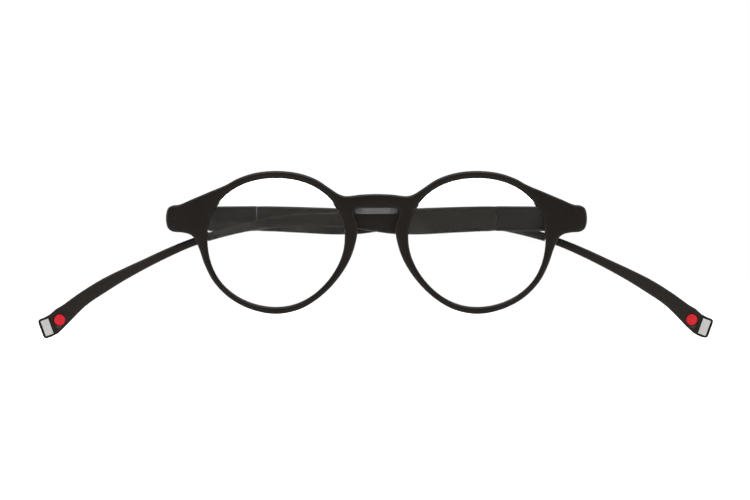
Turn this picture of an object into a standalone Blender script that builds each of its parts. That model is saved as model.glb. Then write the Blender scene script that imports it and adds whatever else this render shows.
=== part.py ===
"""Round reading glasses with long flexible temples that close with magnets, modelled folded.

Metres. +X is to the right and +Z is up as someone facing the glasses sees them, and +Y runs back from
the front. The origin is level with the top of the keyhole's front edge, halfway through the front's
thickness, just above the sloping underside of the bridge. The left and right pieces are those on the
left and the right in that view.
"""

import math

import bmesh
import bpy
from mathutils import Matrix, Vector

MM = 0.001

# Lenses: an oval that is round below its widest line and a little squarer and flatter above it
LENS_WIDTH = 46.0 * MM
LENS_RISE = 20.0 * MM  # from the widest line up
LENS_DROP = 23.05 * MM  # from the widest line down
LENS_LINE = -10.0 * MM  # height of the widest line
LENS_SQUARENESS = 2.15  # exponent of the upper half; 2 is an ellipse
LENS_FULLNESS = 0.7 * MM  # how far the lower corners lean towards the temples
LENS_EDGE = 1.4 * MM  # thickness inside the rim
LENS_FRONT_DOME = 2.4 * MM
LENS_BACK_DOME = 1.2 * MM
LENS_POINTS = 64
RIM_POINTS = 96

# Front
BRIDGE_WIDTH = 21.3 * MM  # between the lenses
BRIDGE_HEIGHT = 4.75 * MM  # from the top of the keyhole to the top of the bridge
BRIDGE_SIDE_HEIGHT = 4.05 * MM  # where the bridge meets the rims
NOSE_RIM = 4.3 * MM  # rim beside the keyhole's neck
NECK_DROP = 6.6 * MM
KEYHOLE_UNDERCUT = 1.2 * MM  # how much wider the keyhole's head is than its neck, each side
KEYHOLE_HEAD_DROP = 2.1 * MM
SADDLE_DROP = 2.4 * MM  # how far the bridge's underside slopes down from the front to the back
RIM_TOP = 2.5 * MM
RIM_BOTTOM = 2.4 * MM
RIM_LOWER_SIDE = 2.05 * MM
RIM_TEMPLE = 3.3 * MM
FRONT_THICKNESS = 3.8 * MM
FRONT_EDGE = 0.85 * MM  # radius on the front's outer edges
FRONT_BOW = 2.9 * MM  # how far the ends are set back from the bridge
GROOVE_DEPTH = 0.8 * MM
GROOVE_WIDTH = 1.9 * MM
MOUTH_EDGE = 0.9 * (FRONT_THICKNESS - GROOVE_WIDTH) / 2  # radius on the lens openings' edges
TEMPLE_LINE = -3.6 * MM  # height of the middle of the temples' roots
END_PIECE_REACH = 13.85 * MM  # past the lens
END_PIECE_HEIGHT = 9.2 * MM
END_PIECE_LIFT = 0.2 * MM  # its middle, above the temples' line
END_PIECE_THICKENING = 1.3 * MM  # added behind the ends, where the temples butt
BUTT_TRIM = 0.43 * MM  # what the flat for the temple's butt end takes off that thickening
BUTT_SPAN = 8.0 * MM  # how far in from the hinge's axis the flat reaches
END_PIECE_FLARE = 0.75 * MM  # how much lower it is where it meets the rim
STRIP = 9.0 * MM  # spacing of the upright cuts that let the front's faces follow its bow

# Hinges: three knuckles on an upright screw, the middle one on the temple
HINGE_INSET = 4.0 * MM  # from the front's end to the hinge's axis
HINGE_DROP = 0.1 * MM  # the hinge's middle, below the temples' line
KNUCKLE_RADIUS = 1.2 * MM
KNUCKLE_HEIGHT = 1.7 * MM
KNUCKLE_CLEARANCE = 0.2 * MM  # round the knuckles
LEAF_THICKNESS = 0.8 * MM
LEAF_LENGTH = 5.4 * MM
LEAF_EDGE = 0.12 * MM
NECK_OVERLAP = 0.02 * MM  # how far inside the knuckle's round its neck ends
LEAF_OVERLAP = 0.4 * MM  # how far past the axis the front leaf reaches
LEAF_PROUD = 0.15 * MM  # how far the leaves stand out of their pockets
SCREW_RADIUS = 0.55 * MM
SCREW_CLEARANCE = 0.1 * MM
SCREW_HEAD_RADIUS = 0.95 * MM
SCREW_HEAD_HEIGHT = 0.55 * MM
SCREW_SLOT = 0.28 * MM
SCREW_SLOT_DEPTH = 0.25 * MM
SCREW_SLOT_TURN = 25.0  # degrees
SCREW_CHAMFER = 0.15 * MM
SCREW_POINT = 0.2 * MM  # how far the screw stands out below, and how far its end tapers
FIT_GAP = 0.25 * MM  # round a piece that sits in another
RUNNING_GAP = 0.15 * MM  # between pieces that turn past each other
RECESS_SPAN = 6.0 * MM  # how far in from the axis the hinge's recess reaches

# Temples, along the temple from the hinge's axis; the inner side faces the head
TEMPLE_THICKNESS = 2.6 * MM
BUTT_GAP = 0.05 * MM  # the butt end, past the axis
LEAF_START = 0.5 * MM  # the temple leaf, past the butt end
ROOT_LENGTH = 26.5 * MM
ARM_LENGTH = 152.6 * MM
ARM_DROP = 37.1 * MM  # how much lower the tip's end is than the root's
ROOT_HEIGHT = 8.2 * MM
ROOT_EDGE = 0.25 * MM  # rounding of the root's butt end
WAIST_SHORT = 4.7 * MM  # the waist, from where the folded arm passes the other hinge
WAIST_HEIGHT = 2.7 * MM  # the arm at its thinnest
WAIST_THICKNESS = 1.9 * MM
SECTION_EDGE = 0.8 * MM
STATION = 2.2 * MM  # spacing of the arm's cross-sections
TIP_TILT = 20.0  # degrees below level
TIP_LENGTH = 8.0 * MM
TIP_HEIGHT = 6.9 * MM
TIP_THICKNESS = 3.0 * MM
TIP_EDGE = 1.0 * MM  # rounding of the tip's end
TIP_BOW = 2.4 * MM  # how far the tip leans in towards the head
BOW_START = 120.0 * MM
CROSSING_GAP = 0.185 * MM  # between the folded temples, where one passes behind the other
CORE_START = 12.0 * MM
CORE_END = 58.0 * MM
CORE_HEIGHT = 3.0 * MM
CORE_THICKNESS = 0.5 * MM
CORE_EDGE = 0.1 * MM
CORE_DROP = 0.5 * MM  # its middle, below the temples' line

# Magnet and dot in each tip, placed back from the tip's end along its axis
MAGNET_WIDTH = 2.8 * MM
MAGNET_HEIGHT = 5.4 * MM
MAGNET_DEPTH = 1.8 * MM
MAGNET_EDGE = 0.15 * MM
MAGNET_PROUD = 0.1 * MM
MAGNET_BACK = 2.2 * MM
DOT_RADIUS = 1.85 * MM
DOT_THICKNESS = 0.6 * MM
DOT_PROUD = 0.05 * MM
DOT_BACK = 7.0 * MM
DOT_RISE = 0.9 * MM

# The arm's shape in two stretches, root to waist and waist to tip: share of the stretch's length, share
# of the arm's drop, tilt in degrees, and how far its height and thickness are from the waist's to the
# stretch's end's
ROOT_STRETCH = (
    (0.000, 0.000, 1.5, 1.00, 1.00),
    (0.135, 0.011, 2.0, 1.05, 1.00),
    (0.254, 0.024, 1.0, 1.09, 1.00),
    (0.337, 0.025, 0.0, 1.00, 0.93),
    (0.419, 0.013, -2.0, 0.74, 0.71),
    (0.497, 0.009, -1.0, 0.41, 0.43),
    (0.626, 0.009, 2.5, 0.24, 0.07),
    (0.723, 0.029, 7.5, 0.15, 0.00),
    (0.817, 0.072, 12.0, 0.07, 0.00),
    (0.910, 0.134, 16.0, 0.03, 0.00),
    (1.000, 0.211, 20.0, 0.00, 0.00),
)
TIP_STRETCH = (
    (0.000, 0.211, 20.0, 0.00, 0.00),
    (0.166, 0.307, 24.0, 0.05, 0.00),
    (0.319, 0.408, 26.0, 0.12, 0.05),
    (0.464, 0.509, 28.0, 0.27, 0.18),
    (0.593, 0.609, 31.0, 0.43, 0.45),
    (0.726, 0.728, 34.0, 0.50, 0.82),
    (0.837, 0.857, 32.0, 0.78, 1.00),
    (0.880, 0.905, 26.0, 1.01, 1.00),
    (0.925, 0.960, 21.5, 1.03, 1.00),
    (1.000, 1.000, 20.0, 1.00, 1.00),
)

LENS_CENTRE = (BRIDGE_WIDTH + LENS_WIDTH) / 2
FRONT_HALF = BRIDGE_WIDTH / 2 + LENS_WIDTH + END_PIECE_REACH
HINGE_X = FRONT_HALF - HINGE_INSET
HINGE_CENTRE = TEMPLE_LINE - HINGE_DROP
END_PIECE_TOP = TEMPLE_LINE + END_PIECE_LIFT + END_PIECE_HEIGHT / 2
END_PIECE_LOW = END_PIECE_TOP - END_PIECE_HEIGHT
# From the middle of the bridge back to the flat that the temple butts on, and to the hinge's axis
BOW_AT_HINGE = FRONT_BOW * (HINGE_X / FRONT_HALF) ** 2
BUTT_SETBACK = FRONT_THICKNESS / 2 + BOW_AT_HINGE + END_PIECE_THICKENING - BUTT_TRIM
HINGE_SETBACK = BUTT_SETBACK + RUNNING_GAP
TEMPLE_INNER = KNUCKLE_RADIUS + KNUCKLE_CLEARANCE  # from the axis out to the root's inner side
RECESS_DEPTH = KNUCKLE_RADIUS + KNUCKLE_CLEARANCE + 0.1 * MM  # from the axis forwards to its floor
LEAF_HEIGHT = 3 * KNUCKLE_HEIGHT + 2 * RUNNING_GAP - 0.2 * MM
LIP_START = HINGE_X + TEMPLE_INNER + 0.05 * MM
# The folded temples' lean, so that the one hinged on the left passes behind the other
FOLD_SPLAY = math.asin((TEMPLE_THICKNESS + CROSSING_GAP) / (2 * HINGE_X))
WAIST_PLACE = 2 * HINGE_X - WAIST_SHORT - ROOT_LENGTH  # along the arm
PAST = 1.0 * MM  # how far cutters run past what they cut
SIDES = {"left": -1, "right": 1}


# Scene, materials and mesh helpers


def clear_scene():
    for thing in list(bpy.data.objects):
        bpy.data.objects.remove(thing)


def new_collection(name):
    collection = bpy.data.collections.new(name)
    bpy.context.scene.collection.children.link(collection)
    return collection


def finish_material(name, colour, roughness, metallic=0.0, alpha=1.0):
    material = bpy.data.materials.new(name)
    material.use_nodes = True
    shader = material.node_tree.nodes["Principled BSDF"]
    shader.inputs["Base Color"].default_value = (*colour, 1.0)
    shader.inputs["Roughness"].default_value = roughness
    shader.inputs["Metallic"].default_value = metallic
    shader.inputs["Alpha"].default_value = alpha
    return material


def mirror_x(shape):
    for vertex in shape.verts:
        vertex.co.x = -vertex.co.x
    bmesh.ops.reverse_faces(shape, faces=shape.faces)


def add_piece(name, shape, collection, material=None, mirrored=False, parent=None):
    """Makes an object of a bmesh, mirrored across X if asked, and frees the bmesh."""
    if mirrored:
        mirror_x(shape)
    mesh = bpy.data.meshes.new(name)
    shape.to_mesh(mesh)
    shape.free()
    mesh.shade_smooth()
    mesh.set_sharp_from_angle(angle=math.radians(35))
    piece = bpy.data.objects.new(name, mesh)
    piece.parent = parent
    collection.objects.link(piece)
    if material is None:
        piece.hide_render = True
        piece.display_type = "WIRE"
    else:
        mesh.materials.append(material)
    return piece


def combine(piece, other, operation="DIFFERENCE"):
    modifier = piece.modifiers.new(other.name, "BOOLEAN")
    modifier.operation = operation
    modifier.object = other
    modifier.solver = "EXACT"


def apply_modifiers(piece):
    bpy.context.view_layer.update()
    evaluated = piece.evaluated_get(bpy.context.evaluated_depsgraph_get())
    mesh = bpy.data.meshes.new_from_object(evaluated)
    piece.modifiers.clear()
    piece.data = mesh


def box(low, high, edge=0.0):
    low, high = Vector(low), Vector(high)
    shape = bmesh.new()
    place = Matrix.Translation((low + high) / 2) @ Matrix.Diagonal((*(high - low), 1.0))
    bmesh.ops.create_cube(shape, size=1.0, matrix=place)
    if edge:
        bmesh.ops.bevel(shape, geom=shape.edges[:], offset=edge, segments=2, affect="EDGES", profile=0.5)
    return shape


def upright_cylinder(centre, radius, height, segments=28):
    shape = bmesh.new()
    bmesh.ops.create_cone(
        shape, cap_ends=True, segments=segments, radius1=radius, radius2=radius, depth=height,
        matrix=Matrix.Translation(centre),
    )
    return shape


def loft(rings):
    """A closed solid through rings with equal numbers of points, flat at both ends."""
    shape = bmesh.new()
    loops = [[shape.verts.new(point) for point in ring] for ring in rings]
    for near, far in zip(loops, loops[1:]):
        for i in range(len(near)):
            j = (i + 1) % len(near)
            shape.faces.new((near[i], near[j], far[j], far[i]))
    shape.faces.new(loops[0])
    shape.faces.new(loops[-1])
    bmesh.ops.recalc_face_normals(shape, faces=shape.faces)
    return shape


# Outlines of the front


def lens_outline(points, grow=0.0, scale=1.0):
    """The right lens's outline in X and Z, grown by a width and scaled about its centre."""
    half_width = LENS_WIDTH / 2 + grow
    outline = []
    for i in range(points):
        angle = math.tau * i / points
        outline.append(lens_point(angle, half_width, grow, scale))
    return outline


def lens_point(angle, half_width, grow, scale=1.0):
    across, up = math.cos(angle), math.sin(angle)
    if up > 0:
        power = 2 / LENS_SQUARENESS
        x = half_width * math.copysign(abs(across) ** power, across)
        z = (LENS_RISE + grow) * up**power
    else:
        x = half_width * across + LENS_FULLNESS * math.sin(2 * angle) ** 2
        z = (LENS_DROP + grow) * up
    return (LENS_CENTRE + scale * x, LENS_LINE + scale * z)


def rim_point(degrees, width):
    return lens_point(math.radians(degrees), LENS_WIDTH / 2 + width, width)


def front_half_anchors(saddle=0.0):
    """The right half of the front's outline, from the bridge's top round to the keyhole's top, which is
    flattened at a depth below its highest place."""
    side = BRIDGE_WIDTH / 2
    neck = side - NOSE_RIM
    end = FRONT_HALF
    top = END_PIECE_TOP
    low = END_PIECE_LOW
    shoulder = rim_point(51, RIM_TOP + 0.1 * MM)
    corner = (end - 4.3 * MM, top)
    bridge = [
        (0.0, BRIDGE_HEIGHT),
        (side / 2, BRIDGE_HEIGHT - 0.2 * MM),
        (side - 0.4 * MM, BRIDGE_SIDE_HEIGHT),
        (side + 1.9 * MM, BRIDGE_SIDE_HEIGHT + 0.65 * MM),
    ]
    brow = [rim_point(degrees, RIM_TOP) for degrees in (134, 120, 105, 90, 75, 61)]
    slope = [shoulder] + [
        tuple(a + share * (b - a) for a, b in zip(shoulder, corner)) for share in (0.35, 0.72)
    ]
    end_piece = [
        corner,
        (end - 2.2 * MM, top - 0.25 * MM),
        (end - 0.7 * MM, top - 1.1 * MM),
        (end, top - 3.0 * MM),
        (end, low + 3.0 * MM),
        (end - 0.7 * MM, low + 1.1 * MM),
        (end - 2.2 * MM, low + 0.15 * MM),
        (end - 5.2 * MM, low - 0.15 * MM),
        (end - 7.8 * MM, low - END_PIECE_FLARE),
        (end - 9.3 * MM, low - 1.9 * MM),
    ]
    cheek = [
        rim_point(-8, RIM_TEMPLE - 0.3 * MM),
        rim_point(-20, RIM_LOWER_SIDE + 0.25 * MM),
        rim_point(-36, RIM_LOWER_SIDE),
        rim_point(-54, RIM_LOWER_SIDE),
        rim_point(-72, (RIM_LOWER_SIDE + RIM_BOTTOM) / 2),
        rim_point(-90, RIM_BOTTOM),
        rim_point(-108, (RIM_LOWER_SIDE + RIM_BOTTOM) / 2),
        rim_point(-124, RIM_LOWER_SIDE),
        rim_point(-140, RIM_LOWER_SIDE + 0.1 * MM),
        rim_point(-155, 0.6 * RIM_LOWER_SIDE + 0.4 * RIM_TEMPLE),
        rim_point(-168, RIM_TEMPLE - 0.1 * MM),
    ]
    keyhole = [(x, min(z, -saddle)) for x, z in [
        (neck, -NECK_DROP - 1.8 * MM),
        (neck + 0.1 * MM, -NECK_DROP + 0.9 * MM),
        (neck + 0.75 * KEYHOLE_UNDERCUT, -KEYHOLE_HEAD_DROP - 1.3 * MM),
        (neck + KEYHOLE_UNDERCUT, -KEYHOLE_HEAD_DROP),
        (neck + 0.75 * KEYHOLE_UNDERCUT, -0.85 * MM),
        (neck - 0.2 * MM, -0.25 * MM),
        (neck / 2, -0.05 * MM),
        (0.0, 0.0),
    ]]
    return bridge + brow + slope + end_piece + cheek + keyhole


def smooth_loop(anchors, steps):
    """A closed centripetal Catmull-Rom curve through 2D anchors, with a number of steps between them."""
    count = len(anchors)
    loop = []
    for i in range(count):
        p = [Vector(anchors[(i + k - 1) % count]) for k in range(4)]
        t = [0.0]
        for a, b in zip(p, p[1:]):
            t.append(t[-1] + math.sqrt((b - a).length))
        for step in range(steps):
            x = t[1] + (t[2] - t[1]) * step / steps
            a = [p[k].lerp(p[k + 1], (x - t[k]) / (t[k + 1] - t[k])) for k in range(3)]
            b = [a[k].lerp(a[k + 1], (x - t[k]) / (t[k + 2] - t[k])) for k in range(2)]
            loop.append(b[0].lerp(b[1], (x - t[1]) / (t[2] - t[1])))
    return loop


def inset(loop, amount):
    """A clockwise loop moved inwards along its own normals."""
    moved = []
    for i, point in enumerate(loop):
        along = (loop[(i + 1) % len(loop)] - loop[i - 1]).normalized()
        moved.append(point + amount * Vector((along.y, -along.x)))
    return moved


def bow(x):
    return FRONT_BOW * (x / FRONT_HALF) ** 2


def bend_front(mesh):
    """Sets the front's ends back and thickens them behind, then splits the faces, which aren't flat now."""
    rise_start = HINGE_X - 5.0 * MM
    for vertex in mesh.vertices:
        x, y = abs(vertex.co.x), vertex.co.y
        share = min(1.0, max(0.0, (x - rise_start) / (LIP_START - rise_start)))
        ease = share * share * (3 - 2 * share)
        backness = min(1.0, max(0.0, y / (FRONT_THICKNESS / 2)))
        vertex.co.y = y + bow(x) + END_PIECE_THICKENING * ease * backness
    shape = bmesh.new()
    shape.from_mesh(mesh)
    bmesh.ops.triangulate(shape, faces=shape.faces)
    shape.to_mesh(mesh)
    shape.free()


def front_ring(y, amount):
    """The front's outline at a depth, moved in by an amount."""
    face = FRONT_THICKNESS / 2
    half = front_half_anchors(SADDLE_DROP * (y + face) / FRONT_THICKNESS)
    loop = smooth_loop(half + [(-x, z) for x, z in half[-2:0:-1]], 5)
    return [(p.x, y, p.y) for p in inset(loop, amount)]


def front_frame(collection, cutters, material):
    face = FRONT_THICKNESS / 2
    quarter = [math.radians(a) for a in (0, 45, 90)]
    levels = [(-face + FRONT_EDGE * (1 - math.cos(a)), FRONT_EDGE * (1 - math.sin(a))) for a in quarter]
    levels += [(-y, amount) for y, amount in levels[::-1]]
    rings = [front_ring(y, amount) for y, amount in levels]
    blank = loft(rings)
    strips = int(FRONT_HALF / STRIP)
    for i in range(-strips, strips + 1):
        everything = blank.verts[:] + blank.edges[:] + blank.faces[:]
        bmesh.ops.bisect_plane(blank, geom=everything, plane_co=(i * STRIP, 0, 0), plane_no=(1, 0, 0))
    front = add_piece("front_frame", blank, collection, material)
    for name, side in SIDES.items():
        opening = add_piece(f"lens_opening_{name}", lens_opening(), cutters, mirrored=side < 0)
        combine(front, opening)
    apply_modifiers(front)
    bend_front(front.data)
    for name, side in SIDES.items():
        for label, shape in end_piece_cuts().items():
            combine(front, add_piece(f"{label}_{name}", shape, cutters, mirrored=side < 0))
    return front


def lens_opening():
    """The cutter for the right opening, with rounded mouths and the groove that holds the lens."""
    face = FRONT_THICKNESS / 2
    half_groove = GROOVE_WIDTH / 2
    mouth = [(face - MOUTH_EDGE * (1 - math.sin(a)), MOUTH_EDGE * (1 - math.cos(a)))
             for a in map(math.radians, (0, 45, 90))]
    back = [(half_groove, 0.0)] + mouth + [(face + PAST, MOUTH_EDGE)]
    profile = [(-y, grow) for y, grow in back[::-1]] + [(0.0, GROOVE_DEPTH)] + back
    return loft([[(x, y, z) for x, z in lens_outline(RIM_POINTS, grow)] for y, grow in profile])


def end_piece_cuts():
    """Cutters for the right end: the butt plane, the hinge's recess and the leaf's pocket."""
    top, low = END_PIECE_TOP + PAST, END_PIECE_LOW - END_PIECE_FLARE - PAST
    far = BUTT_SETBACK + END_PIECE_THICKENING + 2 * PAST
    recess = HINGE_SETBACK - RECESS_DEPTH
    leaf_back = recess + LEAF_PROUD
    pocket_floor = leaf_back - LEAF_THICKNESS - FIT_GAP
    leaf = front_leaf_span()
    half_height = LEAF_HEIGHT / 2 + FIT_GAP
    return {
        "butt_cut": box((HINGE_X - BUTT_SPAN, BUTT_SETBACK, low), (FRONT_HALF + PAST, far, top)),
        "recess_cut": box((HINGE_X - RECESS_SPAN, recess, low), (LIP_START, far, top)),
        "leaf_pocket": box(
            (leaf[0] - FIT_GAP, pocket_floor, HINGE_CENTRE - half_height),
            (leaf[1] + FIT_GAP, recess + PAST, HINGE_CENTRE + half_height),
        ),
    }


def front_leaf_span():
    return (HINGE_X + LEAF_OVERLAP - LEAF_LENGTH, HINGE_X + LEAF_OVERLAP)


def lens(name, side, collection, material):
    """A lens that is curved forwards, with a ridge round its edge that sits in the rim's groove."""
    half_edge = LENS_EDGE / 2
    shares = (0.1, 0.4, 0.7, 0.9, 1.0)
    front = [(s, -half_edge - LENS_FRONT_DOME * (1 - s * s)) for s in shares]
    back = [(s, half_edge - LENS_BACK_DOME * (1 - s * s)) for s in shares[::-1]]
    rings = []
    for scale, y in front:
        rings.append([(x, y + bow(x), z) for x, z in lens_outline(LENS_POINTS, -FIT_GAP, scale)])
    ridge = lens_outline(LENS_POINTS, GROOVE_DEPTH - FIT_GAP)
    rings.append([(x, bow(x), z) for x, z in ridge])
    for scale, y in back:
        rings.append([(x, y + bow(x), z) for x, z in lens_outline(LENS_POINTS, -FIT_GAP, scale)])
    add_piece(f"lens_{name}", loft(rings), collection, material, mirrored=side < 0)


# Hinges


def knuckle_height_range(index):
    """Lowest and highest Z of a knuckle: -1 is the lower one, 0 the temple's, 1 the upper one."""
    centre = HINGE_CENTRE + index * (KNUCKLE_HEIGHT + RUNNING_GAP)
    return centre - KNUCKLE_HEIGHT / 2, centre + KNUCKLE_HEIGHT / 2


def add_knuckle(piece, label, index, axis, neck_low, neck_high, cutters, mirrored, parent=None):
    """Joins a knuckle and its neck to a leaf. The neck's corners are X and Y."""
    low, high = knuckle_height_range(index)
    centre = (axis[0], axis[1], (low + high) / 2)
    barrel = upright_cylinder(centre, KNUCKLE_RADIUS, high - low)
    neck = box((*neck_low, low), (*neck_high, high))
    for kind, shape in (("barrel", barrel), ("neck", neck)):
        combine(piece, add_piece(f"{label}_{kind}", shape, cutters, None, mirrored, parent), "UNION")


def bore_hinge(piece, label, axis, cutters, mirrored, parent=None):
    bore = upright_cylinder((*axis, HINGE_CENTRE), SCREW_RADIUS + SCREW_CLEARANCE, 2 * LEAF_HEIGHT)
    combine(piece, add_piece(f"{label}_bore", bore, cutters, None, mirrored, parent))


def front_hinge_leaf(name, side, collection, cutters, material):
    mirrored = side < 0
    back = HINGE_SETBACK - RECESS_DEPTH + LEAF_PROUD
    low_x, high_x = front_leaf_span()
    plate = box(
        (low_x, back - LEAF_THICKNESS, HINGE_CENTRE - LEAF_HEIGHT / 2),
        (high_x, back, HINGE_CENTRE + LEAF_HEIGHT / 2),
        LEAF_EDGE,
    )
    leaf = add_piece(f"front_hinge_leaf_{name}", plate, collection, material, mirrored)
    axis = (HINGE_X, HINGE_SETBACK)
    inside = KNUCKLE_RADIUS - NECK_OVERLAP
    for index, place in ((-1, "lower"), (1, "upper")):
        label = f"front_{place}_{name}"
        neck_low = (HINGE_X - inside, back - LEAF_THICKNESS / 2)
        neck_high = (high_x - LEAF_EDGE, HINGE_SETBACK - SCREW_RADIUS - SCREW_CLEARANCE)
        add_knuckle(leaf, label, index, axis, neck_low, neck_high, cutters, mirrored)
    bore_hinge(leaf, f"front_{name}", axis, cutters, mirrored)


def hinge_screw(name, side, collection, cutters, material):
    """A turned screw with a slotted head, which stands on the upper knuckle."""
    seat = knuckle_height_range(1)[1] + RUNNING_GAP / 2
    top = seat + SCREW_HEAD_HEIGHT
    bottom = knuckle_height_range(-1)[0] - SCREW_POINT
    outline = [
        (0.0, top), (SCREW_HEAD_RADIUS - SCREW_CHAMFER, top), (SCREW_HEAD_RADIUS, top - SCREW_CHAMFER),
        (SCREW_HEAD_RADIUS, seat), (SCREW_RADIUS, seat), (SCREW_RADIUS, bottom + SCREW_POINT),
        (SCREW_RADIUS - SCREW_POINT, bottom), (0.0, bottom),
    ]
    shape = bmesh.new()
    points = [shape.verts.new((r, 0.0, z)) for r, z in outline]
    for a, b in zip(points, points[1:]):
        shape.edges.new((a, b))
    screw = add_piece(f"hinge_screw_{name}", shape, collection, material)
    screw.location = (side * HINGE_X, HINGE_SETBACK, 0.0)
    turn = screw.modifiers.new("turned", "SCREW")
    turn.steps = turn.render_steps = 28
    turn.use_merge_vertices = True
    turn.merge_threshold = 0.00001
    reach = SCREW_HEAD_RADIUS + PAST
    slot = box((-reach, -SCREW_SLOT / 2, top - SCREW_SLOT_DEPTH), (reach, SCREW_SLOT / 2, top + PAST))
    cutter = add_piece(f"screw_slot_{name}", slot, cutters)
    cutter.location = screw.location
    cutter.rotation_euler.z = math.radians(SCREW_SLOT_TURN)
    combine(screw, cutter)


def temple_leaf_span():
    """Where the temple's leaf lies along the temple, and its inner and outer faces."""
    start = BUTT_GAP + LEAF_START
    inner = TEMPLE_INNER - LEAF_PROUD
    return start, start + LEAF_LENGTH, inner, inner + LEAF_THICKNESS


def temple_hinge_leaf(name, side, hinge, collection, cutters, material):
    mirrored = side > 0
    start, end, inner, outer = temple_leaf_span()
    plate = box(
        (start, inner, HINGE_CENTRE - LEAF_HEIGHT / 2),
        (end, outer, HINGE_CENTRE + LEAF_HEIGHT / 2),
        LEAF_EDGE,
    )
    leaf = add_piece(f"temple_hinge_leaf_{name}", plate, collection, material, mirrored, hinge)
    neck_high = (KNUCKLE_RADIUS - NECK_OVERLAP, inner + LEAF_THICKNESS / 2)
    add_knuckle(leaf, f"temple_{name}", 0, (0.0, 0.0), (0.0, 0.0), neck_high, cutters, mirrored, hinge)
    bore_hinge(leaf, f"temple_{name}", (0.0, 0.0), cutters, mirrored, hinge)


# Temples, in the hinge's own frame: X along the temple, Y from the inner side to the outer, Z up


def temple_middle(along):
    """How far the temple's middle is from the axis, outwards, and how fast that changes."""
    middle = TEMPLE_INNER + TEMPLE_THICKNESS / 2
    end = ROOT_LENGTH + ARM_LENGTH
    straight = end - TIP_LENGTH - BOW_START
    reach = max(0.0, along - BOW_START)
    curve = TIP_BOW / (straight * straight + 2 * straight * TIP_LENGTH)
    bent = min(reach, straight)
    slope = 2 * curve * bent
    return middle - curve * bent * bent - slope * (reach - bent), -slope


def arm_rows():
    """The arm's shape: place along the arm, share of its drop, tilt, height and thickness."""
    rows = []
    stretches = (
        (0.0, WAIST_PLACE, ROOT_STRETCH, ROOT_HEIGHT, TEMPLE_THICKNESS),
        (WAIST_PLACE, ARM_LENGTH, TIP_STRETCH[1:], TIP_HEIGHT, TIP_THICKNESS),
    )
    for start, end, stretch, height, thickness in stretches:
        for share, drop, tilt, tall, thick in stretch:
            rows.append((
                start + share * (end - start), drop, tilt,
                WAIST_HEIGHT + tall * (height - WAIST_HEIGHT),
                WAIST_THICKNESS + thick * (thickness - WAIST_THICKNESS),
            ))
    return rows


def arm_values(rows, place):
    """The arm's shape at a place along it, read smoothly from its rows."""
    i = max(k for k in range(len(rows) - 1) if rows[k][0] <= place)
    before, start, stop, after = rows[max(i - 1, 0)], rows[i], rows[i + 1], rows[min(i + 2, len(rows) - 1)]
    span = stop[0] - start[0]
    t = (place - start[0]) / span
    values = []
    for k in range(1, 5):
        leave = (stop[k] - before[k]) / (stop[0] - before[0]) * span
        reach = (after[k] - start[k]) / (after[0] - start[0]) * span
        values.append(
            (2 * t**3 - 3 * t**2 + 1) * start[k] + (t**3 - 2 * t**2 + t) * leave
            + (3 * t**2 - 2 * t**3) * stop[k] + (t**3 - t**2) * reach
        )
    return values


def section(along, centre, tilt, height, thickness, edge=SECTION_EDGE):
    """A ring round the temple: a rounded rectangle that leans with the arm."""
    radius = min(edge, 0.42 * height, 0.42 * thickness)
    lean = Vector((math.sin(math.radians(tilt)), 0.0, math.cos(math.radians(tilt))))
    middle = Vector((along, temple_middle(along)[0], centre))
    ring = []
    for quarter in range(4):
        across = 1 if quarter in (0, 3) else -1
        up = 1 if quarter < 2 else -1
        for step in range(4):
            angle = math.radians(90 * quarter + 30 * step)
            y = across * (thickness / 2 - radius) + radius * math.cos(angle)
            z = up * (height / 2 - radius) + radius * math.sin(angle)
            ring.append(middle + Vector((0.0, y, 0.0)) + z * lean)
    return ring


def temple_root(name, side, hinge, collection, cutters, material):
    """The stiff stretch behind the hinge, with the leaf's pocket and a slot for the core."""
    mirrored = side > 0
    end = ROOT_LENGTH - FIT_GAP / 2
    butt = BUTT_GAP
    joint_edge = ROOT_EDGE / 2
    ends = (
        (butt, ROOT_EDGE), (butt + ROOT_EDGE, 0.0), (end / 2, 0.0), (end - joint_edge, 0.0), (end, joint_edge)
    )
    rings = [
        section(along, TEMPLE_LINE, 0.0, ROOT_HEIGHT - 2 * less, TEMPLE_THICKNESS - 2 * less)
        for along, less in ends
    ]
    root = add_piece(f"temple_root_{name}", loft(rings), collection, material, mirrored, hinge)
    half_height = LEAF_HEIGHT / 2 + FIT_GAP
    leaf_end, leaf_outer = temple_leaf_span()[1], temple_leaf_span()[3]
    pocket = box(
        (-PAST, TEMPLE_INNER - PAST, HINGE_CENTRE - half_height),
        (leaf_end + FIT_GAP, leaf_outer + FIT_GAP, HINGE_CENTRE + half_height),
    )
    combine(root, add_piece(f"root_pocket_{name}", pocket, cutters, None, mirrored, hinge))
    slot = core_shape(CORE_START - FIT_GAP, end + PAST, FIT_GAP)
    combine(root, add_piece(f"root_slot_{name}", slot, cutters, None, mirrored, hinge))


def core_shape(start, end, grow=0.0, edge=0.0):
    middle = TEMPLE_INNER + TEMPLE_THICKNESS / 2
    centre = TEMPLE_LINE - CORE_DROP
    half_thickness = CORE_THICKNESS / 2 + grow
    half_height = CORE_HEIGHT / 2 + grow
    return box(
        (start, middle - half_thickness, centre - half_height),
        (end, middle + half_thickness, centre + half_height),
        edge,
    )


def temple_core(name, side, hinge, collection, material):
    shape = core_shape(CORE_START, CORE_END, edge=CORE_EDGE)
    add_piece(f"temple_core_{name}", shape, collection, material, side > 0, hinge)


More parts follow.
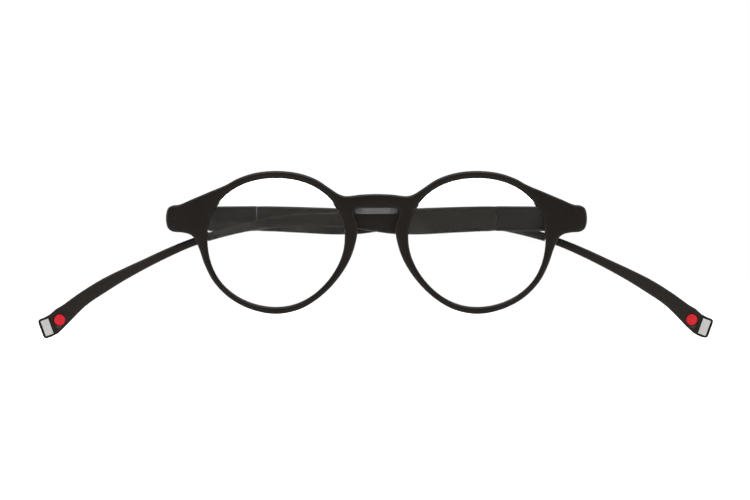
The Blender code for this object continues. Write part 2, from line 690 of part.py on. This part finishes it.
def arm_rings():
    """Rings down the arm, from its joint with the root to its tip, whose end is rounded."""
    rows = arm_rows()
    stations = round(ARM_LENGTH / STATION)
    joint = FIT_GAP / 2
    places = [joint] + [ARM_LENGTH * i / stations for i in range(1, stations)] + [ARM_LENGTH - 2 * TIP_EDGE]
    rings = []
    for place in places:
        drop, tilt, height, thickness = arm_values(rows, place)
        less = ROOT_EDGE if place == joint else 0.0
        centre = TEMPLE_LINE - drop * ARM_DROP
        rings.append(section(ROOT_LENGTH + place, centre, tilt, height - less, thickness - less))
    for angle in map(math.radians, (0, 30, 60, 90)):
        end = tip_place(TIP_EDGE * (1 - math.sin(angle)))
        less = TIP_EDGE * (1 - math.cos(angle))
        rings.append(section(end.x, end.z, TIP_TILT, TIP_HEIGHT - 2 * less, TIP_THICKNESS - less))
    return rings


def tip_place(back, rise=0.0):
    """A point on the tip's middle, a distance back from its end, and above its axis."""
    tilt = math.radians(TIP_TILT)
    along = ROOT_LENGTH + ARM_LENGTH - back * math.cos(tilt) + rise * math.sin(tilt)
    drop = TEMPLE_LINE - ARM_DROP + back * math.sin(tilt) + rise * math.cos(tilt)
    return Vector((along, temple_middle(along)[0], drop))


def tip_frame(back, rise=0.0):
    """Axes on the tip's inner side: X along it, -Y out of its inner side, Z across it."""
    place = tip_place(back, rise)
    slope = temple_middle(place.x)[1]
    turn = Matrix.Rotation(math.atan(slope), 4, "Z") @ Matrix.Rotation(math.radians(TIP_TILT), 4, "Y")
    return Matrix.Translation(place) @ turn @ Matrix.Translation((0.0, -TIP_THICKNESS / 2, 0.0))


def magnet_shape(grow=0.0, past=0.0, edge=0.0):
    """The magnet, or its pocket where it is grown by a gap and runs out past the tip's side."""
    half_width = MAGNET_WIDTH / 2 + grow
    half_height = MAGNET_HEIGHT / 2 + grow
    back = MAGNET_DEPTH - MAGNET_PROUD + grow
    shape = box((-half_width, -MAGNET_PROUD - past, -half_height), (half_width, back, half_height), edge)
    bmesh.ops.transform(shape, matrix=tip_frame(MAGNET_BACK), verts=shape.verts)
    return shape


def dot_shape(radius, front, back):
    shape = bmesh.new()
    turn = Matrix.Rotation(math.radians(90), 4, "X")
    bmesh.ops.create_cone(
        shape, cap_ends=True, segments=32, radius1=radius, radius2=radius, depth=back - front,
        matrix=tip_frame(DOT_BACK, DOT_RISE) @ Matrix.Translation((0.0, (front + back) / 2, 0.0)) @ turn,
    )
    return shape


def temple_arm(name, side, hinge, collection, cutters, material):
    arm = add_piece(f"temple_arm_{name}", loft(arm_rings()), collection, material, side > 0, hinge)
    cuts = {
        "arm_slot": core_shape(ROOT_LENGTH - PAST, CORE_END + FIT_GAP, FIT_GAP),
        "magnet_pocket": magnet_shape(FIT_GAP, PAST),
        "dot_recess": dot_shape(DOT_RADIUS + FIT_GAP, -DOT_PROUD - PAST, DOT_THICKNESS - DOT_PROUD + FIT_GAP),
    }
    for label, shape in cuts.items():
        combine(arm, add_piece(f"{label}_{name}", shape, cutters, None, side > 0, hinge))


def tip_pieces(name, side, hinge, collection, magnet_material, dot_material):
    magnet = magnet_shape(edge=MAGNET_EDGE)
    add_piece(f"tip_magnet_{name}", magnet, collection, magnet_material, side > 0, hinge)
    dot = dot_shape(DOT_RADIUS, -DOT_PROUD, DOT_THICKNESS - DOT_PROUD)
    add_piece(f"tip_dot_{name}", dot, collection, dot_material, side > 0, hinge)


def hinge_empty(name, side):
    """The hinge's axis. It carries the temple, and turns it by the lean of its folded place."""
    empty = bpy.data.objects.new(f"hinge_axis_{name}", None)
    empty.location = (side * HINGE_X, HINGE_SETBACK, 0.0)
    empty.rotation_euler.z = FOLD_SPLAY
    bpy.context.scene.collection.objects.link(empty)
    return empty


def build():
    clear_scene()
    parts = new_collection("reading_glasses")
    cutters = new_collection("cutters")
    black = finish_material("soft_black_plastic", (0.021, 0.018, 0.016), 0.48)
    arm_black = finish_material("flexible_black_plastic", (0.023, 0.020, 0.018), 0.55)
    clear = finish_material("clear_lens", (0.95, 0.97, 0.96), 0.03, alpha=0.15)
    steel = finish_material("hinge_steel", (0.55, 0.54, 0.52), 0.3, metallic=1.0)
    spring = finish_material("spring_steel", (0.45, 0.45, 0.46), 0.35, metallic=1.0)
    nickel = finish_material("plated_magnet", (0.62, 0.61, 0.59), 0.38, metallic=1.0)
    red = finish_material("red_dot", (0.62, 0.02, 0.03), 0.35)
    front_frame(parts, cutters, black)
    for name, side in SIDES.items():
        hinge = hinge_empty(name, side)
        lens(name, side, parts, clear)
        front_hinge_leaf(name, side, parts, cutters, steel)
        hinge_screw(name, side, parts, cutters, steel)
        temple_hinge_leaf(name, side, hinge, parts, cutters, steel)
        temple_root(name, side, hinge, parts, cutters, black)
        temple_core(name, side, hinge, parts, spring)
        temple_arm(name, side, hinge, parts, cutters, arm_black)
        tip_pieces(name, side, hinge, parts, nickel, red)


build()
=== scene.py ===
"""Round reading glasses with long flexible temples, folded, on a pale studio floor.

Metres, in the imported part's frame: +X right, +Y back, +Z up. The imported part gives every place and
size. The black pieces and the lenses are finished copies of its solids, and the rest are its own solids
with new materials.
"""

import math

import bpy
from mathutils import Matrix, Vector

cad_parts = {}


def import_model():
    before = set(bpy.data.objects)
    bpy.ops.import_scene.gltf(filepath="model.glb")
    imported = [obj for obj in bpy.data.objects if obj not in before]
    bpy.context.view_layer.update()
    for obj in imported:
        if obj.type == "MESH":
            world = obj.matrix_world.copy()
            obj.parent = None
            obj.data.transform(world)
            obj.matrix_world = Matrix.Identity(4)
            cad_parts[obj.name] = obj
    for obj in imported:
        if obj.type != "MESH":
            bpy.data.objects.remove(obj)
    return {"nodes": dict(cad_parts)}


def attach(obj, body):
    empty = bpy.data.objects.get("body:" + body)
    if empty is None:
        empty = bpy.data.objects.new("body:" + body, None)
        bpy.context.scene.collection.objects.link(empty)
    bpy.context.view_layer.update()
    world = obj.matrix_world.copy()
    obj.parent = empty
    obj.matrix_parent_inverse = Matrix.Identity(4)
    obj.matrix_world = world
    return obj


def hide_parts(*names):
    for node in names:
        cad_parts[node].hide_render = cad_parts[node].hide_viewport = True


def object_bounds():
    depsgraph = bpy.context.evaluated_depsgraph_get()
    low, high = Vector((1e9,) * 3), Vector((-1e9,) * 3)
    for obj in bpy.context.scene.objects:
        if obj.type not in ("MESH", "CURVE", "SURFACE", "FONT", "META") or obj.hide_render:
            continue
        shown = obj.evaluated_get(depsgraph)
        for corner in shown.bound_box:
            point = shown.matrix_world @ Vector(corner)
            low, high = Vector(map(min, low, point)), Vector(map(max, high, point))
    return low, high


MM = 0.001
SADDLE_HALF = 7.4 * MM  # half the width of the polished underside of the bridge
SADDLE_TOP = 0.2 * MM  # its heights
SADDLE_LOW = -3.6 * MM
SIDE_FADE = 3.2 * MM  # how far the polish takes to fade out at the sides, at the top and below
TOP_FADE = 0.3 * MM
LOW_FADE = 3.0 * MM
SEAM = 0.04 * MM  # left open between the stiff root and the flexible arm
SAME_PLACE = 0.001 * MM  # corners this close are one
END_FACING = 0.9  # how squarely a flat end faces left or right, at least
END_DEPTH = 0.5 * MM  # an end's faces lie within this
FRONT_SMOOTH = 50.0  # degrees between faces that are shaded as one
LENS_SMOOTH = 20.0
TEMPLE_SMOOTH = 32.0
CLOUD = 14 * MM  # sizes on the soft skin: its faint cloudiness, its rubbed places and its grain
RUBBED = 5 * MM
GRAIN = 0.16 * MM
GRAIN_DEPTH = 0.012 * MM
LINE_DEPTH = 0.004 * MM  # the fine lines in metal, their length along the metal, and their darkest shade
LINE_STRETCH = 0.08
LINE_SHADE = 0.86
MIX_FIRST, MIX_SECOND, MIX_COLOUR = 6, 7, 2  # a colour Mix node's two inputs and its output
INWARD = {"left": 1, "right": -1}  # along X, from each hinge to the middle
FLOOR_GAP = 0.4 * MM  # below the lowest point
FLOOR_SIZE = 6.0
FLOOR_WHITE = (0.92, 0.92, 0.92, 1.0)
SUN_SPREAD = 120.0  # degrees
CAMERA_PLACE = (-0.0005, -1.5, -0.0140)

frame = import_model()
cad_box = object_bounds()


# Shader maths


class Sock:
    """A socket in a material, with arithmetic that adds Math nodes."""

    def __init__(self, tree, socket):
        self.tree, self.socket = tree, socket

    def math(self, operation, *others, swap=False):
        """A Math node on this value and others, in turn or swapped round."""
        values = [self, *others]
        if swap:
            values.reverse()
        return node(self.tree, "ShaderNodeMath", dict(operation=operation), *values)

    def __add__(self, other):
        return self.math("ADD", other)

    def __sub__(self, other):
        return self.math("SUBTRACT", other)

    def __mul__(self, other):
        return self.math("MULTIPLY", other)

    def __truediv__(self, other):
        return self.math("DIVIDE", other)

    def __radd__(self, other):
        return self.math("ADD", other, swap=True)

    def __rsub__(self, other):
        return self.math("SUBTRACT", other, swap=True)

    def __rmul__(self, other):
        return self.math("MULTIPLY", other, swap=True)

    def __rtruediv__(self, other):
        return self.math("DIVIDE", other, swap=True)

    def clamped(self):
        """Held between 0 and 1."""
        return self.math("MINIMUM", 1.0).math("MAXIMUM", 0.0)


def put(tree, socket, value):
    """Links a Sock to an input, or sets the input's number or colour."""
    if isinstance(value, Sock):
        tree.links.new(value.socket, socket)
    else:
        socket.default_value = value


def node(tree, kind, settings=None, *values, out=0, **named):
    """Adds a node: its settings, then its inputs in order or by name. Gives one output."""
    made = tree.nodes.new(kind)
    for key, value in (settings or {}).items():
        setattr(made, key, value)
    for socket, value in zip(made.inputs, values):
        put(tree, socket, value)
    for name, value in named.items():
        put(tree, made.inputs[name.replace("_", " ")], value)
    return Sock(tree, made.outputs[out])


def material(name):
    """A new material with its tree, its shader and the Object coordinates."""
    made = bpy.data.materials.new(name)
    made.use_nodes = True
    tree = made.node_tree
    shader = tree.nodes["Principled BSDF"]
    place = node(tree, "ShaderNodeTexCoord", out="Object")
    return made, tree, shader, place


def noise(tree, place, size, detail=2.0, roughness=0.5):
    """Grain of about a size in metres, from 0 to 1."""
    return node(tree, "ShaderNodeTexNoise", None, Vector=place, Scale=1 / size, Detail=detail,
                Roughness=roughness, out="Fac")


def blend(tree, factor, first, second):
    """A mix of two colours."""
    mixed = node(tree, "ShaderNodeMix", dict(data_type="RGBA"), factor, out=MIX_COLOUR)
    for index, colour in ((MIX_FIRST, first), (MIX_SECOND, second)):
        put(tree, mixed.socket.node.inputs[index], (*colour, 1.0))
    return mixed


def bump(tree, height, depth):
    """A shallow relief of a depth in metres."""
    return node(tree, "ShaderNodeBump", None, Strength=0.5, Distance=depth, Height=height, out="Normal")


def uniform(shader, **values):
    """Sets inputs that are the same all over, by name."""
    for name, value in values.items():
        shader.inputs[name.replace("_", " ")].default_value = value


def rubbered_black(name, dark, light, roughness, specular, smoothed=False):
    """Black plastic with a soft matt skin: fine grain, faint cloudiness and a few rubbed places."""
    made, tree, shader, place = material(name)
    cloud = noise(tree, place, CLOUD, 3.0)
    rubbed = noise(tree, place, RUBBED, 5.0, 0.6)
    grain = noise(tree, place, GRAIN)
    tone = ((cloud - 0.35) * 2.2).clamped()
    put(tree, shader.inputs["Base Color"], blend(tree, tone, dark, light))
    put(tree, shader.inputs["Roughness"], roughness + (rubbed - 0.5) * 0.16)
    put(tree, shader.inputs["Normal"], bump(tree, grain, GRAIN_DEPTH))
    uniform(shader, Specular_IOR_Level=specular, Sheen_Weight=0.02, Sheen_Roughness=0.35)
    if smoothed:
        put(tree, shader.inputs["Coat Weight"], saddle(tree, place))
        uniform(shader, Coat_Roughness=0.22)
    return made


def saddle(tree, place):
    """One on the underside of the bridge, which a nose polishes, and zero away from it."""
    across = node(tree, "ShaderNodeSeparateXYZ", None, place, out="X").math("ABSOLUTE")
    up = node(tree, "ShaderNodeSeparateXYZ", None, place, out="Z")
    beside = ((SADDLE_HALF - across) / SIDE_FADE).clamped()
    below = ((SADDLE_TOP - up) / TOP_FADE).clamped()
    above = ((up - SADDLE_LOW) / LOW_FADE).clamped()
    return beside * below * above


def clear_plastic(name):
    """Clear lens plastic with a thin coating that cuts most of its reflection."""
    made, tree, shader, place = material(name)
    cloud = noise(tree, place, 20 * MM)
    put(tree, shader.inputs["Base Color"], blend(tree, cloud, (0.985, 0.990, 0.988), (0.992, 0.995, 0.992)))
    uniform(shader, Roughness=0.0, IOR=1.42, Transmission_Weight=1.0)
    uniform(shader, Specular_Tint=(0.28, 0.27, 0.25, 1.0))
    return made


def metal(name, colour, roughness, line_width, along):
    """Metal with fine lines along one axis: 0 is X and 2 is Z."""
    made, tree, shader, place = material(name)
    stretch = tuple(LINE_STRETCH if axis == along else 1.0 for axis in range(3))
    lined = node(tree, "ShaderNodeMapping", None, Vector=place, Scale=stretch, out="Vector")
    lines = noise(tree, lined, line_width, 3.0, 0.7)
    cloud = noise(tree, place, 2.5 * MM, 3.0)
    shade = tuple(LINE_SHADE * channel for channel in colour)
    put(tree, shader.inputs["Base Color"], blend(tree, lines, shade, colour))
    put(tree, shader.inputs["Roughness"], roughness + (cloud - 0.5) * 0.2 + (lines - 0.5) * 0.15)
    put(tree, shader.inputs["Normal"], bump(tree, lines, LINE_DEPTH))
    uniform(shader, Metallic=1.0)
    return made


def red_lacquer(name):
    """Slightly cloudy red lacquer with a thin soft shine."""
    made, tree, shader, place = material(name)
    cloud = noise(tree, place, 1.1 * MM, 3.0)
    put(tree, shader.inputs["Base Color"], blend(tree, cloud, (0.23, 0.001, 0.004), (0.32, 0.003, 0.008)))
    put(tree, shader.inputs["Roughness"], 0.34 + (cloud - 0.5) * 0.1)
    uniform(shader, Specular_IOR_Level=0.10, Coat_Weight=0.12, Coat_Roughness=0.10)
    return made


# Pieces


def deselect():
    """Leaves edit mode and selects nothing."""
    if bpy.context.object and bpy.context.object.mode != "OBJECT":
        bpy.ops.object.mode_set(mode="OBJECT")
    bpy.ops.object.select_all(action="DESELECT")


def take(piece):
    """Selects one piece alone and makes it the active one."""
    deselect()
    piece.select_set(True)
    bpy.context.view_layer.objects.active = piece


def finished_copy(cad, name, body, angle):
    """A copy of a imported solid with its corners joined. Edges up to an angle are shaded smoothly."""
    mesh = frame["nodes"][cad].data.copy()
    piece = bpy.data.objects.new(name, mesh)
    bpy.context.scene.collection.objects.link(piece)
    take(piece)
    bpy.ops.object.mode_set(mode="EDIT")
    bpy.ops.mesh.select_all(action="SELECT")
    bpy.ops.mesh.remove_doubles(threshold=SAME_PLACE)
    bpy.ops.object.mode_set(mode="OBJECT")
    bpy.ops.object.shade_smooth_by_angle(angle=math.radians(angle))
    smooth = piece.modifiers.new("even faces", "WEIGHTED_NORMAL")
    smooth.keep_sharp = True
    smooth.weight = 100
    bpy.ops.object.modifier_apply(modifier=smooth.name)
    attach(piece, body)
    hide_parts(cad)
    return piece


def end_of(piece, toward):
    """The corners, the middle and the normal of a piece's flat end that faces left or right."""
    ends = [face for face in piece.data.polygons if face.normal.x * toward > END_FACING]
    far = max(face.center.x * toward for face in ends)
    ends = [face for face in ends if face.center.x * toward > far - END_DEPTH]
    area = sum(face.area for face in ends)
    middle = sum((face.area * face.center for face in ends), Vector()) / area
    way = sum((face.area * face.normal for face in ends), Vector()).normalized()
    return {corner for face in ends for corner in face.vertices}, middle, way


def close_seam(fixed, moved, toward):
    """Brings one piece's end up to its neighbour's, so that the seam between them is a fine line."""
    middle, way = end_of(fixed, toward)[1:]
    for corner in end_of(moved, -toward)[0]:
        vertex = moved.data.vertices[corner]
        vertex.co -= ((vertex.co - middle).dot(way) - SEAM) * way


def dress(piece, finish):
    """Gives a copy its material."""
    piece.data.materials.clear()
    piece.data.materials.append(finish)


def dress_node(name, finish):
    """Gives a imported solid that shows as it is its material."""
    for slot in frame["nodes"][name].material_slots:
        slot.material = finish


front_black = rubbered_black(
    "matt black front", (0.0022, 0.0010, 0.0003), (0.0038, 0.0024, 0.0014), 0.38, 0.095, smoothed=True
)
arm_black = rubbered_black(
    "flexible black arm", (0.0046, 0.0030, 0.0018), (0.0078, 0.0058, 0.0042), 0.42, 0.10
)
lens_clear = clear_plastic("clear lens")
nickel = metal("nickelled hinge", (0.60, 0.58, 0.55), 0.30, 0.05 * MM, 0)
screw_steel = metal("turned screw", (0.62, 0.60, 0.57), 0.28, 0.04 * MM, 2)
spring = metal("spring strip", (0.42, 0.42, 0.43), 0.36, 0.06 * MM, 0)
magnet = metal("satin plated magnet", (0.33, 0.32, 0.31), 0.42, 0.05 * MM, 2)
red = red_lacquer("red lacquer")

front = finished_copy("front_frame", "moulded_front", "front", FRONT_SMOOTH)
dress(front, front_black)
for side, inward in INWARD.items():
    temple = f"{side}_temple"
    glass = finished_copy(f"lens_{side}", f"clear_lens_{side}", "front", LENS_SMOOTH)
    dress(glass, lens_clear)
    root = finished_copy(f"temple_root_{side}", f"stiff_root_{side}", temple, TEMPLE_SMOOTH)
    dress(root, front_black)
    arm = finished_copy(f"temple_arm_{side}", f"flexible_arm_{side}", temple, TEMPLE_SMOOTH)
    dress(arm, arm_black)
    close_seam(root, arm, inward)
    dress_node(f"front_hinge_leaf_{side}", nickel)
    dress_node(f"temple_hinge_leaf_{side}", nickel)
    dress_node(f"hinge_screw_{side}", screw_steel)
    dress_node(f"temple_core_{side}", spring)
    dress_node(f"tip_magnet_{side}", magnet)
    dress_node(f"tip_dot_{side}", red)


# Studio


def floor():
    """A plain pale floor just below the glasses."""
    lowest = cad_box[0][2]
    bpy.ops.mesh.primitive_plane_add(size=FLOOR_SIZE, location=(0.0, 0.0, lowest - FLOOR_GAP))
    ground = bpy.context.object
    ground.name = "floor"
    made, _, shader, _ = material("pale floor")
    uniform(shader, Base_Color=FLOOR_WHITE, Roughness=0.9, Specular_IOR_Level=0.0)
    ground.data.materials.append(made)


def softbox(name, place, aim, size, power):
    """A soft rectangular lamp at a place, aimed at a point."""
    lamp = bpy.data.lights.new(name, "AREA")
    lamp.shape = "RECTANGLE"
    lamp.size, lamp.size_y = size
    lamp.energy = power
    holder = bpy.data.objects.new(name, lamp)
    holder.location = place
    holder.rotation_euler = (Vector(aim) - Vector(place)).to_track_quat("-Z", "Y").to_euler()
    bpy.context.scene.collection.objects.link(holder)


def soft_sun(strength):
    """Light from straight above, so wide that the floor comes out as white as the backdrop."""
    lamp = bpy.data.lights.new("overhead", "SUN")
    lamp.energy = strength
    lamp.angle = math.radians(SUN_SPREAD)
    holder = bpy.data.objects.new("overhead", lamp)
    bpy.context.scene.collection.objects.link(holder)


def world(strength):
    """An even white surround."""
    sky = bpy.data.worlds.new("studio")
    sky.use_nodes = True
    sky.node_tree.nodes["Background"].inputs["Color"].default_value = (1.0, 1.0, 1.0, 1.0)
    sky.node_tree.nodes["Background"].inputs["Strength"].default_value = strength
    bpy.context.scene.world = sky


def camera():
    """A long lens, level and square to the front."""
    lens = bpy.data.cameras.new("camera")
    lens.lens = 215.0
    lens.sensor_width = 36.0
    lens.clip_start, lens.clip_end = 0.05, 50.0
    holder = bpy.data.objects.new("camera", lens)
    holder.location = CAMERA_PLACE
    holder.rotation_euler = (math.radians(90), 0.0, 0.0)
    bpy.context.scene.collection.objects.link(holder)
    bpy.context.scene.camera = holder


deselect()
floor()
world(1.0)
softbox("top softbox", (0.0, -0.25, 0.8), (0.0, 0.0, 0.0), (0.9, 0.5), 13.0)
for name, place in (("left softbox", (-0.9, -0.08, 0.1)), ("right softbox", (0.9, -0.08, 0.1))):
    softbox(name, place, (0.0, 0.0, -0.01), (0.35, 0.6), 5.0)
softbox("low softbox", (-0.25, -0.9, -0.02), (0.0, 0.0, -0.01), (0.5, 0.10), 0.2)
soft_sun(0.6)
camera()
bpy.context.scene.view_settings.view_transform = "Standard"
